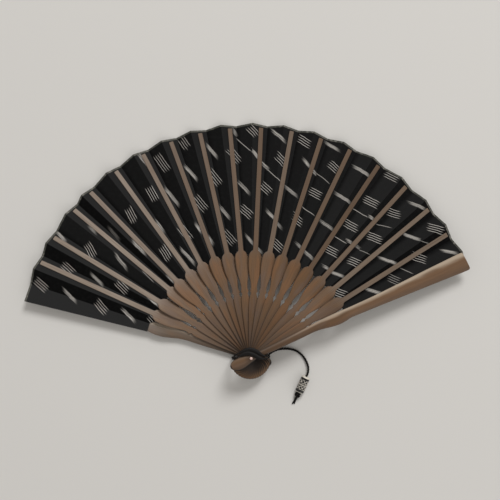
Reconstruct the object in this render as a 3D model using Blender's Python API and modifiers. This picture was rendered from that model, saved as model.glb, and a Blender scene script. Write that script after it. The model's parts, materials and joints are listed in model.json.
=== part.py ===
import bmesh
import bpy
from math import asin, cos, pi, radians, sin, tan
from mathutils import Matrix, Vector

mm = 0.001

# Sticks, measured from the rivet along each stick
stick_reach = 200.5 * mm
guard_reach = 203.4 * mm
shoulder_radius = 92.0 * mm
head_radius = 18.4 * mm
guard_head_radius = 19.2 * mm
head_width = 10.2 * mm
head_middle = 11.0 * mm
head_taper = 14.0 * mm
blade_width = 10.6 * mm
spoke_width = 4.3 * mm
spoke_tip_width = 3.9 * mm
guard_width = 10.6 * mm
guard_tip_width = 14.5 * mm
guard_tip_slant = 1.3 * mm
rib_thickness = 0.55 * mm
guard_thickness = 2.3 * mm
guard_edge_round = 0.5 * mm
pitch = 1.1 * mm

# How far the fan is open, and the share of it that each gap between sticks takes
front_guard_angle = radians(24.4)
open_span = radians(138.8)
gap_shares = (0.98, 0.90, 1.10, 0.78, 1.06, 1.03, 0.99, 0.98, 0.98,
              1.01, 1.00, 0.98, 1.00, 1.05, 1.11, 1.03, 0.99, 0.98)

# Leaf: each panel lies under its stick, and tilts down clockwise
leaf_inner_radius = 92.6 * mm
leaf_peak_radius = 205.0 * mm
leaf_valley_radius = 202.0 * mm
cloth_thickness = 0.15 * mm
glue_gap = 0.1 * mm
crease_gap = 0.25 * mm
peak_angle = radians(2.15)
valley_angle = radians(1.65)
leaf_tilt = radians(13.0)
twist_start = 62.0 * mm

# Rivet
pin_radius = 0.85 * mm
hole_radius = 0.96 * mm
cap_radius = 1.25 * mm
cap_height = 0.6 * mm
foot_radius = 2.9 * mm
foot_height = 2.1 * mm
washer_gap = 0.1 * mm
cutter_overrun = 1.0 * mm

# Cord, bead and knot
cord_radius = 1.0 * mm
loop_radius = 0.72 * mm
loop_inner_radius = 13.8 * mm
loop_outer_radius = 15.7 * mm
loop_gap = 0.3 * mm
loop_bend = 1.3 * mm
bead_length = 15.0 * mm
bead_radius = 3.85 * mm
bead_bore = 1.5 * mm
bead_groove_depth = 0.25 * mm
bead_groove_width = 0.7 * mm
bead_groove_shares = (0.12, 0.5, 0.86)
bead_place = (49.0 * mm, -16.9 * mm)
bead_direction = radians(-114.7)
knot_radius = 2.5 * mm
tail_radius = 1.2 * mm
tail_length = 9.0 * mm
piece_gap = 0.3 * mm
cord_point_spacing = 4.6 * mm
# Places that the free cord passes, in millimetres from the rivet's foot on the table
cord_places = ((20.3, 4.9, 1.0), (25.3, 6.7, 1.0), (31.5, 7.2, 1.0), (37.0, 6.5, 1.0), (41.7, 4.6, 1.0),
               (45.7, 1.4, 1.1), (48.5, -2.5, 1.4), (50.2, -6.3, 2.0), (50.9, -9.8, 2.9))

# Outline points as shares: distance from the rivet of shoulder_radius, width of blade_width
rib_lower_shares = ((0.065, 0.45), (0.13, 0.47), (0.22, 0.55), (0.35, 0.66), (0.48, 0.71),
                    (0.55, 0.70), (0.585, 0.67), (0.612, 0.55), (0.630, 0.61), (0.648, 0.53),
                    (0.69, 0.60), (0.74, 0.73), (0.795, 0.87), (0.86, 0.97), (0.92, 1.00),
                    (0.96, 0.96), (0.985, 0.80), (1.00, 0.52))
guard_lower_shares = ((0.065, 0.49), (0.13, 0.50), (0.22, 0.57), (0.35, 0.65), (0.54, 0.68),
                      (0.64, 0.65), (0.72, 0.74), (0.80, 0.90), (0.88, 0.99), (0.96, 1.00))
# Guard above the shoulder: distance as a share of the way to the tip, widening as a share of the way to the tip's width
guard_upper_shares = ((0.12, 0.0), (0.35, 0.10), (0.65, 0.42), (0.88, 0.80), (1.0, 1.0))
head_arc_shares = (0.06, 0.18, 0.33, 0.5, 0.67, 0.81)
# Neck loop: the ways of its two laps over the guard, across and up from the rivet, of loop_inner_radius
outer_arch_shares = ((0.90, 0.13), (0.67, 0.21), (0.50, 0.31), (0.28, 0.45), (0.0, 0.54),
                     (-0.20, 0.55), (-0.50, 0.46), (-0.80, 0.31), (-1.03, 0.16))
inner_arch_shares = ((1.03, 0.02), (0.73, -0.01), (0.48, 0.04), (0.25, 0.17), (0.04, 0.26),
                     (-0.20, 0.32), (-0.50, 0.26), (-0.78, 0.13))
# The ways under the guard: across of the leg's radius, down of the way round the rivet's foot
under_arch_shares = ((-0.92, 0.3), (-0.7, 0.72), (-0.35, 0.95), (0.0, 1.0), (0.35, 0.95), (0.7, 0.72), (0.92, 0.3))
loop_spacing_share = 2.8
# Knot: distance along it and its radius, as shares of its length and radius
knot_shares = ((0.02, 0.42), (0.1, 0.72), (0.3, 0.95), (0.5, 1.0), (0.7, 0.95), (0.9, 0.68), (1.0, 0.5))
tail_shares = (0.12, 0.35, 0.7, 1.0)
droop_share = 0.35

stick_count = len(gap_shares) + 1
last = stick_count - 1
leaf_rise = tan(leaf_tilt)


def smooth(share):
    held = min(1.0, max(0.0, share))
    return held * held * (3.0 - 2.0 * held)


# Direction of a stick in the fan's own plane; the back guard is stick 0 and the front guard the last
def stick_angle(index):
    closed_share = sum(gap_shares[index:]) / sum(gap_shares)
    return front_guard_angle + open_span * closed_share


def gap_angle(index):
    return stick_angle(index - 1) - stick_angle(index)


def tilt_at(along):
    return leaf_rise * smooth((along - twist_start) / (shoulder_radius - twist_start))


# Head: an egg shape, from its end to where the neck begins
def head_outline(reach):
    points = []
    for share in head_arc_shares:
        length = reach - head_middle if share < 0.5 else head_taper
        points.append((-head_middle - length * cos(pi * share), head_width / 2 * sin(pi * share)))
    return points


def rib_outline():
    points = head_outline(head_radius)
    points += [(x * shoulder_radius, w * blade_width / 2) for x, w in rib_lower_shares]
    points.append((leaf_inner_radius + spoke_width / 4, spoke_width / 2))
    points.append((stick_reach, spoke_tip_width / 2))
    return points


def guard_outline():
    points = head_outline(guard_head_radius)
    points += [(x * shoulder_radius, w * guard_width / 2) for x, w in guard_lower_shares]
    upper = guard_reach - shoulder_radius
    widening = guard_tip_width - guard_width
    points += [(shoulder_radius + x * upper, (guard_width + w * widening) / 2)
               for x, w in guard_upper_shares]
    return points


def half_width_at(outline, along):
    for (x0, w0), (x1, w1) in zip(outline, outline[1:]):
        if x0 <= along <= x1:
            return w0 + (w1 - w0) * (along - x0) / (x1 - x0)
    return outline[0][1]


# Heights of the leaf and the guards' inner faces, measured from their stick's middle plane
cloth_drop = ((rib_thickness + cloth_thickness) / 2) / cos(leaf_tilt) + glue_gap
back_guard_drop = cloth_drop + cloth_thickness / 2 + glue_gap
guard_inner = rib_thickness / 2
stack_top = last * pitch - guard_inner + guard_thickness
stack_bottom = -guard_inner - guard_thickness
foot_bottom = stack_bottom - washer_gap - foot_height


def material(name, colour, roughness, metallic=0.0):
    made = bpy.data.materials.new(name)
    made.use_nodes = True
    shader = made.node_tree.nodes["Principled BSDF"]
    shader.inputs["Base Color"].default_value = (*colour, 1.0)
    shader.inputs["Roughness"].default_value = roughness
    shader.inputs["Metallic"].default_value = metallic
    return made


def new_object(name, data, collection, parent, finish=None):
    made = bpy.data.objects.new(name, data)
    collection.objects.link(made)
    made.parent = parent
    if finish:
        made.data.materials.append(finish)
    return made


# A flat grid whose vertices are moved to place(row, column)
def grid_mesh(name, rows, columns, place):
    work = bmesh.new()
    bmesh.ops.create_grid(work, x_segments=rows, y_segments=columns, size=0.5)
    for vertex in work.verts:
        row = round((vertex.co.x + 0.5) * rows)
        column = round((vertex.co.y + 0.5) * columns)
        vertex.co = place(row, column)
    mesh = bpy.data.meshes.new(name)
    work.to_mesh(mesh)
    work.free()
    return mesh


def solidify(obj, thickness, offset):
    wall = obj.modifiers.new("wall", "SOLIDIFY")
    wall.thickness = thickness
    wall.offset = offset


def bore(obj, cutter):
    hole = obj.modifiers.new("rivet_hole", "BOOLEAN")
    hole.operation = "DIFFERENCE"
    hole.object = cutter


def bevel(obj, width):
    edge = obj.modifiers.new("worn_edge", "BEVEL")
    edge.width = width
    edge.segments = 1
    edge.limit_method = "ANGLE"


# Surface of a stick: flat at the rivet, turned to the leaf's tilt above the shoulder
def stick_surface(name, outline, columns, height, slant=0.0):
    reach = outline[-1][0]

    def place(row, column):
        along, half = outline[row]
        side = 2.0 * column / columns - 1.0
        end_share = smooth((along - shoulder_radius) / (reach - shoulder_radius))
        x = along - slant * side * end_share
        y = side * half
        return x, y, height(along) + y * tilt_at(along)

    return grid_mesh(name, len(outline) - 1, columns, place)


def place_on_stick(obj, index):
    obj.location = (0.0, 0.0, index * pitch)
    obj.rotation_euler = (0.0, 0.0, stick_angle(index))


def build_ribs(parts, fan, cutter, finish):
    surface = stick_surface("rib", rib_outline(), 2, lambda along: 0.0)
    for index in range(1, last):
        rib = new_object(f"rib_{index:02d}", surface.copy(), parts, fan, finish)
        place_on_stick(rib, index)
        solidify(rib, rib_thickness, 0.0)
        bore(rib, cutter)


# The back guard's inner face sinks above the shoulder, to make room for the leaf that lies on it
def back_guard_height(along):
    sunk = smooth((along - twist_start) / (shoulder_radius - twist_start))
    return -guard_inner - sunk * (back_guard_drop - guard_inner)


def build_guards(parts, fan, cutter, finish):
    outline = guard_outline()
    heights = {"back_guard": back_guard_height, "front_guard": lambda along: -guard_inner}
    for name, index, offset in (("back_guard", 0, -1.0), ("front_guard", last, 1.0)):
        surface = stick_surface(name, outline, 2, heights[name], guard_tip_slant / 2)
        guard = new_object(name, surface, parts, fan, finish)
        place_on_stick(guard, index)
        solidify(guard, guard_thickness, offset)
        bevel(guard, guard_edge_round)
        bore(guard, cutter)


# A point of the leaf on a stick's peak (side 1) or valley (side 0) fold line, in that stick's frame
def fold_point(side, share):
    outer = leaf_peak_radius if side else leaf_valley_radius
    radius = leaf_inner_radius + share * (outer - leaf_inner_radius)
    angle = peak_angle if side else -valley_angle
    y = radius * sin(angle)
    return Vector((radius * cos(angle), y, y * leaf_rise - cloth_drop))


def build_panels(parts, fan, finish):
    surface = grid_mesh("leaf_panel", 1, 1, lambda row, column: fold_point(column, row))
    for index in range(last):
        panel = new_object(f"leaf_panel_{index:02d}", surface.copy(), parts, fan, finish)
        place_on_stick(panel, index)
        solidify(panel, cloth_thickness, 0.0)


def in_fan(index, point):
    turned = Matrix.Rotation(stick_angle(index), 3, "Z") @ point
    return turned + Vector((0.0, 0.0, index * pitch))


# The free folds rise from one panel's valley to the next panel's peak, and the last goes on under the front guard
def build_folds(parts, fan, finish):
    rows = 4
    for index in range(1, stick_count):
        ends_under_guard = index == last

        def place(row, column):
            share = row / rows
            low = in_fan(index - 1, fold_point(0, share))
            high = in_fan(index, fold_point(1, share))
            across = (high - low).normalized() * crease_gap
            if column == 0:
                return low + across
            if column == 1:
                return high if ends_under_guard else high - across
            return in_fan(index, fold_point(0, share))

        columns = 2 if ends_under_guard else 1
        name = f"leaf_fold_{index:02d}"
        fold = new_object(name, grid_mesh(name, rows, columns, place), parts, fan, finish)
        solidify(fold, cloth_thickness, 0.0)


# A turned piece from (radius, height) points that run down its outer side
def turned(name, profile, collection, parent, finish, steps=24, closed=False):
    mesh = bpy.data.meshes.new(name)
    count = len(profile)
    edges = [(i, i + 1) for i in range(count - 1)] + ([(count - 1, 0)] if closed else [])
    mesh.from_pydata([(radius, 0.0, height) for radius, height in profile], edges, [])
    made = new_object(name, mesh, collection, parent, finish)
    screw = made.modifiers.new("turn", "SCREW")
    screw.steps = steps
    screw.render_steps = steps
    screw.use_merge_vertices = True
    screw.merge_threshold = 0.00001
    screw.use_smooth_shade = True
    return made


def build_rivet(parts, fan, finish):
    cap_base = stack_top + washer_gap
    cap_top = cap_base + cap_height
    foot_top = stack_bottom - washer_gap
    profile = [(0.0, cap_top), (cap_radius / 2, cap_top), (cap_radius, cap_top - cap_height / 2),
               (cap_radius, cap_base), (pin_radius, cap_base), (pin_radius, foot_top),
               (foot_radius, foot_top), (foot_radius, foot_bottom + foot_height / 4),
               (foot_radius - foot_height / 4, foot_bottom), (0.0, foot_bottom)]
    turned("rivet", profile, parts, fan, finish)


# A smooth line through points, read off at even steps
def smooth_route(points, spacing):
    ends = [2 * points[0] - points[1]] + points + [2 * points[-1] - points[-2]]
    fine = []
    steps = 24
    for before, start, end, after in zip(ends, ends[1:], ends[2:], ends[3:]):
        for step in range(steps):
            t = step / steps
            bend = (2 * start + (end - before) * t
                    + (2 * before - 5 * start + 4 * end - after) * t ** 2
                    + (3 * start - before - 3 * end + after) * t ** 3)
            fine.append(bend / 2)
    fine.append(points[-1])
    total = sum((b - a).length for a, b in zip(fine, fine[1:]))
    count = max(2, round(total / spacing))
    route, travelled, wanted = [fine[0]], 0.0, total / count
    for a, b in zip(fine, fine[1:]):
        step = (b - a).length
        while step and travelled + step >= wanted and len(route) < count:
            route.append(a.lerp(b, (wanted - travelled) / step))
            wanted += total / count
        travelled += step
    route.append(fine[-1])
    return route


def tube(name, route, radii, collection, parent, finish, resolution=2):
    curve = bpy.data.curves.new(name, "CURVE")
    curve.dimensions = "3D"
    curve.bevel_depth = max(radii)
    curve.bevel_resolution = resolution
    curve.use_fill_caps = True
    spline = curve.splines.new("POLY")
    spline.points.add(len(route) - 1)
    for point, place, radius in zip(spline.points, route, radii):
        point.co = (*place, 1.0)
        point.radius = radius / max(radii)
    return new_object(name, curve, collection, parent, finish)


# How far a guard's edge turns away from its middle line at a distance from the rivet, towards the tip or the head
def edge_angle(radius, way):
    outline = guard_outline()
    angle = 0.0
    for _ in range(8):
        angle = asin(half_width_at(outline, way * radius * cos(angle)) / radius)
    return angle


# A loop leg stands midway between the guards' necks and heads, on the left or the right of the rivet
def leg_foot(radius, left):
    neck, head = edge_angle(radius, 1), edge_angle(radius, -1)
    angle = (front_guard_angle - neck + stick_angle(0) - pi + head) / 2
    if left:
        angle = (stick_angle(0) + neck + front_guard_angle + pi - head) / 2
    return Vector((radius * cos(angle), radius * sin(angle), 0.0))


# The cord goes twice round the necks of all the sticks, beside the rivet
def build_neck_loop(parts, fan, finish):
    over = Vector((0.0, 0.0, stack_top + loop_gap + loop_radius))
    under = Vector((0.0, 0.0, stack_bottom - loop_gap - loop_radius))
    bend = Vector((0.0, 0.0, loop_bend))
    heights = (under + bend, (over + under) / 2, over - bend)
    round_foot = foot_radius + loop_gap + loop_radius
    step = loop_outer_radius - loop_inner_radius
    laps = ((loop_inner_radius, loop_outer_radius, outer_arch_shares, round_foot + step),
            (loop_outer_radius, loop_inner_radius, inner_arch_shares, round_foot))
    route = []
    for right_radius, left_radius, arch_shares, low in laps:
        right, left = leg_foot(right_radius, False), leg_foot(left_radius, True)
        route += [right + height for height in heights]
        route += [loop_inner_radius * Vector((x, y, 0.0)) + over for x, y in arch_shares]
        route += [left + height for height in reversed(heights)]
        route += [Vector((x * left_radius, -y * low, 0.0)) + under for x, y in under_arch_shares]
    line = smooth_route(route[:-1], loop_radius * loop_spacing_share)
    tube("neck_loop", line, [loop_radius] * len(line), parts, fan, finish, 1)


# Slope of the table in the fan's own frame: the fan stands on the rivet's foot and on the two middle panels
def table_slope():
    centre = (stick_angle(0) + stick_angle(last)) / 2
    first = max(i for i in range(stick_count) if stick_angle(i) - valley_angle >= centre)
    corners = [in_fan(i, fold_point(0, 1.0)) for i in (first, first + 1)]
    lower = cloth_thickness / 2 / cos(leaf_tilt)
    corners = [Vector((c.x, c.y, c.z - lower)) for c in corners]
    slope = Vector((0.0, 0.0))
    flat_radius = foot_radius - foot_height / 4
    for _ in range(6):
        toe = slope.normalized() * flat_radius if slope.length else slope
        foot = Vector((toe.x, toe.y, foot_bottom))
        (x1, y1, z1), (x2, y2, z2) = (corner - foot for corner in corners)
        area = x1 * y2 - x2 * y1
        slope = Vector(((z1 * y2 - z2 * y1) / area, (x1 * z2 - x2 * z1) / area))
    return slope


# The turn that lays the table's plane level
def table_turn():
    slope = table_slope()
    up = Vector((-slope.x, -slope.y, 1.0)).normalized()
    return up.rotation_difference(Vector((0.0, 0.0, 1.0)))


# The free cord starts at the loop's outer right leg, lies on the table and rises to the bead's bore
def build_cord(parts, table, finish, bead_top, along):
    leg = leg_foot(loop_outer_radius, False)
    leg.z = stack_bottom - loop_gap - foot_bottom
    leg = table_turn() @ leg
    places = [Vector(place) * mm for place in cord_places]
    away = (places[0] - leg).normalized()
    places.insert(0, leg + away * (loop_radius + piece_gap))
    places += [bead_top - along * (piece_gap + straight) for straight in (3.0 * cord_radius, 0.0)]
    line = smooth_route(places, cord_point_spacing)
    for place in line:
        place.z = max(place.z, cord_radius)
    tube("cord", line, [cord_radius] * len(line), parts, table, finish)


def build_bead(parts, table, finish, bead_top, along):
    rounding = bead_groove_width / 2
    outer = [(bead_radius - rounding, 0.0), (bead_radius, -rounding)]
    for share in bead_groove_shares:
        middle = -share * bead_length
        outer += [(bead_radius, middle + rounding), (bead_radius - bead_groove_depth, middle),
                  (bead_radius, middle - rounding)]
    outer += [(bead_radius, rounding - bead_length), (bead_radius - rounding, -bead_length)]
    profile = [(bead_bore, 0.0)] + outer + [(bead_bore, -bead_length)]
    bead = turned("bead", profile, parts, table, finish, 20, True)
    bead.location = bead_top
    bead.rotation_euler = along.to_track_quat("-Z", "Y").to_euler()


# The knot's strand fills the bead's bore, and the tail sinks to the table
def build_knot(parts, table, finish, bead_top, along):
    bead_end = bead_top + along * bead_length
    start = bead_end + along * piece_gap
    fall_length = 2 * knot_radius + tail_length * droop_share
    course = along + Vector((0.0, 0.0, (tail_radius - bead_radius) / fall_length))
    route = [bead_top, bead_end]
    radii = [cord_radius, cord_radius]
    for share, width_share in knot_shares:
        route.append(start + share * 2 * knot_radius * course)
        radii.append(width_share * knot_radius)
    for share in tail_shares:
        place = start + (2 * knot_radius + share * tail_length) * course
        place.z = max(place.z, tail_radius)
        route.append(place)
        radii.append(tail_radius)
    tube("knot", route, radii, parts, table, finish)


def world_points(obj, graph):
    evaluated = obj.evaluated_get(graph)
    mesh = evaluated.to_mesh()
    points = [evaluated.matrix_world @ vertex.co for vertex in mesh.vertices]
    evaluated.to_mesh_clear()
    return points


# The origin is under the middle of the fan, without its cord, on the table
def seat(fan, table, parts):
    fan.rotation_mode = "QUATERNION"
    fan.rotation_quaternion = table_turn()
    bpy.context.view_layer.update()
    graph = bpy.context.evaluated_depsgraph_get()
    points = [p for o in parts.objects if o.parent == fan for p in world_points(o, graph)]
    low = [min(p[k] for p in points) for k in range(3)]
    high = [max(p[k] for p in points) for k in range(3)]
    fan.location = (-(low[0] + high[0]) / 2, -(low[1] + high[1]) / 2, -low[2])
    foot = fan.location + fan.rotation_quaternion @ Vector((0.0, 0.0, foot_bottom))
    table.location = (foot.x, foot.y, 0.0)
    bpy.context.view_layer.update()


def main():
    for obj in list(bpy.data.objects):
        bpy.data.objects.remove(obj)
    parts = bpy.data.collections.new("folding_fan")
    tools = bpy.data.collections.new("cutters")
    for collection in (parts, tools):
        bpy.context.scene.collection.children.link(collection)
    fan = bpy.data.objects.new("fan_frame", None)
    table = bpy.data.objects.new("table_frame", None)
    for empty in (fan, table):
        tools.objects.link(empty)
    wood = material("stained_bamboo", (0.15, 0.105, 0.075), 0.5)
    guard_wood = material("guard_bamboo", (0.17, 0.115, 0.08), 0.42)
    cloth = material("indigo_cotton", (0.012, 0.012, 0.016), 0.85)
    rivet_finish = material("ivory_rivet", (0.75, 0.70, 0.66), 0.4)
    cord_finish = material("black_cord", (0.01, 0.01, 0.012), 0.6)
    bead_finish = material("carved_bead", (0.62, 0.60, 0.55), 0.45)

    top, bottom = stack_top + cutter_overrun, stack_bottom - cutter_overrun
    profile = [(0.0, top), (hole_radius, top), (hole_radius, bottom), (0.0, bottom)]
    cutter = turned("rivet_hole_cutter", profile, tools, fan, None, 16)
    cutter.hide_render = True
    cutter.display_type = "WIRE"

    build_guards(parts, fan, cutter, guard_wood)
    build_ribs(parts, fan, cutter, wood)
    build_panels(parts, fan, cloth)
    build_folds(parts, fan, cloth)
    build_rivet(parts, fan, rivet_finish)
    build_neck_loop(parts, fan, cord_finish)
    bead_top = Vector((*bead_place, bead_radius))
    along = Vector((cos(bead_direction), sin(bead_direction), 0.0))
    build_cord(parts, table, cord_finish, bead_top, along)
    build_bead(parts, table, bead_finish, bead_top, along)
    build_knot(parts, table, cord_finish, bead_top, along)
    seat(fan, table, parts)


main()
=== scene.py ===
import bmesh
import bpy
import json
import numpy as np
from functools import partial
from math import atan2, cos, hypot, pi, radians, sin, tan
from mathutils import Matrix, Vector, noise


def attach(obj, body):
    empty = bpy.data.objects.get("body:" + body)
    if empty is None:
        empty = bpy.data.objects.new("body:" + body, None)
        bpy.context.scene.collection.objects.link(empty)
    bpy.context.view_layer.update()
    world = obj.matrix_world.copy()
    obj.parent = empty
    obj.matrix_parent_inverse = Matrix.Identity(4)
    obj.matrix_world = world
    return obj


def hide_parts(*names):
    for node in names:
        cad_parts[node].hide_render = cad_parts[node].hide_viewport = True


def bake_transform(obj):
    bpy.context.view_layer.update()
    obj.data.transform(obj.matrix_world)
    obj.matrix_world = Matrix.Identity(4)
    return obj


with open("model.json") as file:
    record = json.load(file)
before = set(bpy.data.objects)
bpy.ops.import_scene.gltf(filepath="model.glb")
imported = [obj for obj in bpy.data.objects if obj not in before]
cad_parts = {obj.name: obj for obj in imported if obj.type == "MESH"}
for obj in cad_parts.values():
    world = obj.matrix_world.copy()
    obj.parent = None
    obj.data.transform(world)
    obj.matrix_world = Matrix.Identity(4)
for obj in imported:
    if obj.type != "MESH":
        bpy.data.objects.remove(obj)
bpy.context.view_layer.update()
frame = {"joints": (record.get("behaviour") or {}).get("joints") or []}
mm = 0.001
print("frame loaded")


def tone(red, green, blue):  # a screen colour, 0 to 255, as Blender's linear colour
    parts = [c / 255 for c in (red, green, blue)]
    return tuple(c / 12.92 if c <= 0.04045 else ((c + 0.055) / 1.055) ** 2.4 for c in parts) + (1.0,)


def ease(share):
    held = min(1.0, max(0.0, share))
    return held * held * (3.0 - 2.0 * held)


def addObject(name, data):
    made = bpy.data.objects.new(name, data)
    bpy.context.scene.collection.objects.link(made)
    return made


# the camera looks straight down, as in the photograph
view = dict(height=0.8, middle=(0.00423, -0.00037), lens=65.55, sensor=36.0, nearest=0.01)

cameraData = bpy.data.cameras.new("camera")
cameraData.lens = view["lens"]
cameraData.sensor_width = view["sensor"]
cameraData.clip_start = view["nearest"]
camera = addObject("camera", cameraData)
camera.location = (*view["middle"], view["height"])
bpy.context.scene.camera = camera

# the fan's own frame: x along a stick, z up the rivet
fan = dict(pitch=1.1 * mm, frontAngle=24.4, openAngle=138.8, leafTilt=13.0, twistStart=62.0 * mm,
           shoulder=92.0 * mm,
           gapShares=(0.98, 0.90, 1.10, 0.78, 1.06, 1.03, 0.99, 0.98, 0.98,
                      1.01, 1.00, 0.98, 1.00, 1.05, 1.11, 1.03, 0.99, 0.98))
lastStick = len(fan["gapShares"])

firstHinge = next(j for j in frame["joints"] if j["name"] == "rib_01_pivot")
rivetAxis = Vector(firstHinge["axis"]).normalized()
rivetPlace = Vector(firstHinge["pos_m"]) - rivetAxis * fan["pitch"]
rivetTurn = Vector((0, 0, 1)).rotation_difference(rivetAxis)
fanToWorld = Matrix.Translation(rivetPlace) @ rivetTurn.to_matrix().to_4x4()
bodyNames = ["back_guard"] + [f"rib_{i:02d}" for i in range(1, lastStick)] + ["front_guard"]


def stickAngle(index):
    closedShare = sum(fan["gapShares"][index:]) / sum(fan["gapShares"])
    return radians(fan["frontAngle"] + fan["openAngle"] * closedShare)


def stickInFan(index):
    return Matrix.Translation((0, 0, index * fan["pitch"])) @ Matrix.Rotation(stickAngle(index), 4, "Z")


def twistShare(along):  # a stick is flat at the rivet and fully turned from the shoulder on
    return ease((along - fan["twistStart"]) / (fan["shoulder"] - fan["twistStart"]))


def tiltAt(along):
    return tan(radians(fan["leafTilt"])) * twistShare(along)


# small tools
def deselectAll():
    for obj in list(bpy.context.selected_objects):
        obj.select_set(False)


def makeActive(obj):
    deselectAll()
    obj.select_set(True)
    bpy.context.view_layer.objects.active = obj


def applyModifier(obj, kind, **settings):
    makeActive(obj)
    added = obj.modifiers.new(kind.lower(), kind)
    for key, value in settings.items():
        setattr(added, key, value)
    bpy.ops.object.modifier_apply(modifier=added.name)


def pickVerts(obj, test):  # in edit mode, selects the points that pass a test
    work = bmesh.from_edit_mesh(obj.data)
    for element in list(work.faces) + list(work.edges):
        element.select_set(False)
    for vert in work.verts:
        vert.select_set(test(vert.co))
    work.select_flush(True)
    bmesh.update_edit_mesh(obj.data)


def smoothStations(points, steps):  # a Catmull-Rom line through stations of any number of values
    points = [Vector(p) for p in points]
    ends = [2 * points[0] - points[1]] + points + [2 * points[-1] - points[-2]]
    fine = []
    for before, start, end, after in zip(ends, ends[1:], ends[2:], ends[3:]):
        for step in range(steps):
            t = step / steps
            fine.append((2 * start + (end - before) * t + (2 * before - 5 * start + 4 * end - after) * t ** 2
                         + (3 * start - before - 3 * end + after) * t ** 3) / 2)
    return fine + [points[-1]]


def easeOutline(points, steps):  # outline points (along, half width) joined by curves that never overshoot
    slopes = [(b[1] - a[1]) / (b[0] - a[0]) for a, b in zip(points, points[1:])]
    turns = [0.0 if one * two <= 0 else 2 * one * two / (one + two) for one, two in zip(slopes, slopes[1:])]
    turns = [slopes[0]] + turns + [slopes[-1]]
    fine = []
    for (x0, w0), (x1, w1), m0, m1 in zip(points, points[1:], turns, turns[1:]):
        gap = x1 - x0
        for step in range(steps):
            t = step / steps
            width = (w0 * (1 + 2 * t) * (1 - t) ** 2 + m0 * gap * t * (1 - t) ** 2
                     + w1 * t * t * (3 - 2 * t) + m1 * gap * t * t * (t - 1))
            fine.append(((x0 + gap * t) * mm, 0.0, width * mm))
    return fine + [(points[-1][0] * mm, 0.0, points[-1][1] * mm)]


def evenStations(points, spacing):  # the same line read off at even steps
    fine = smoothStations(points, 16)
    total = sum((b.xyz - a.xyz).length for a, b in zip(fine, fine[1:]))
    count = max(2, round(total / spacing))
    route, travelled, wanted = [fine[0]], 0.0, total / count
    for a, b in zip(fine, fine[1:]):
        step = (b.xyz - a.xyz).length
        while step and travelled + step >= wanted and len(route) < count:
            route.append(a.lerp(b, (wanted - travelled) / step))
            wanted += total / count
        travelled += step
    return route + [fine[-1]]


def faceOutward():  # in edit mode, turns every face outward and leaves edit mode
    bpy.ops.mesh.select_all(action="SELECT")
    bpy.ops.mesh.normals_make_consistent(inside=False)
    bpy.ops.object.mode_set(mode="OBJECT")


def growStrip(name, stations, columns):  # a grid pulled out edge by edge through (along, middle, half width)
    deselectAll()
    bpy.ops.mesh.primitive_grid_add(x_subdivisions=1, y_subdivisions=columns, size=1, location=(0, 0, 0))
    strip = bpy.context.object
    strip.name = strip.data.name = name
    (x0, c0, w0), (x1, c1, w1) = stations[:2]
    bpy.ops.object.mode_set(mode="EDIT")
    bpy.ops.mesh.select_mode(type="VERT")
    bpy.ops.transform.resize(value=(x1 - x0, 2 * w0, 1), center_override=(0, 0, 0))
    bpy.ops.transform.translate(value=((x0 + x1) / 2, c0, 0))
    pickVerts(strip, lambda co: co.x > (x0 + x1) / 2)
    bpy.ops.transform.resize(value=(1, w1 / w0, 1), center_override=(x1, c0, 0))
    bpy.ops.transform.translate(value=(0, c1 - c0, 0))
    for (x, c, w), (xNext, cNext, wNext) in zip(stations[1:], stations[2:]):
        bpy.ops.mesh.extrude_region_move(TRANSFORM_OT_translate={"value": (xNext - x, cNext - c, 0)})
        bpy.ops.transform.resize(value=(1, wNext / w, 1), center_override=(xNext, cNext, 0))
    bpy.ops.object.mode_set(mode="OBJECT")
    return strip


def growLathe(name, profile, sides, filled=True):  # a circle pulled out ring by ring, (radius, height)
    deselectAll()
    r0, z0 = profile[0]
    bpy.ops.mesh.primitive_circle_add(vertices=sides, radius=r0, location=(0, 0, 0),
                                      fill_type="NGON" if filled else "NOTHING")
    piece = bpy.context.object
    piece.name = piece.data.name = name
    bpy.ops.object.mode_set(mode="EDIT")
    bpy.ops.mesh.select_mode(type="VERT")
    bpy.ops.transform.translate(value=(0, 0, z0))
    for (r, z), (rNext, zNext) in zip(profile, profile[1:]):
        bpy.ops.mesh.extrude_region_move(TRANSFORM_OT_translate={"value": (0, 0, zNext - z)})
        bpy.ops.transform.resize(value=(rNext / r, rNext / r, 1), center_override=(0, 0, zNext))
    bpy.ops.mesh.select_all(action="SELECT")
    bpy.ops.mesh.remove_doubles(threshold=0.005 * mm)
    faceOutward()
    return piece


def meshObject(name, points, faces):
    mesh = bpy.data.meshes.new(name)
    mesh.from_pydata([tuple(p) for p in points], [], faces)
    mesh.validate()
    return addObject(name, mesh)


def paintUV(obj, name, place):  # place(vertex index) gives the two values
    layer = obj.data.uv_layers.new(name=name)
    for corner in obj.data.loops:
        layer.data[corner.index].uv = place(corner.vertex_index)


def paintPoints(obj, name, values):
    layer = obj.data.attributes.new(name, "FLOAT", "POINT")
    layer.data.foreach_set("value", values)


def paintAll(obj, **values):  # the same value at every point
    for name, value in values.items():
        paintPoints(obj, name, [value] * len(obj.data.vertices))


def smoothShade(obj, angle):
    makeActive(obj)
    bpy.ops.object.shade_smooth_by_angle(angle=radians(angle))


# material helpers
def newMaterial(name, roughness, **settings):
    made = bpy.data.materials.new(name)
    made.use_nodes = True
    shader = made.node_tree.nodes["Principled BSDF"]
    shader.inputs["Roughness"].default_value = roughness
    for key, value in settings.items():
        shader.inputs[key].default_value = value
    return made, made.node_tree, shader


def feed(tree, socket, value):  # a link, or a plain value
    if isinstance(value, bpy.types.NodeSocket):
        tree.links.new(value, socket)
    else:
        socket.default_value = value


def addNode(tree, kind, links, **settings):
    added = tree.nodes.new("ShaderNode" + kind)
    for key, value in settings.items():
        setattr(added, key, value)
    for key, value in links.items():
        feed(tree, added.inputs[key], value)
    return added


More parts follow.
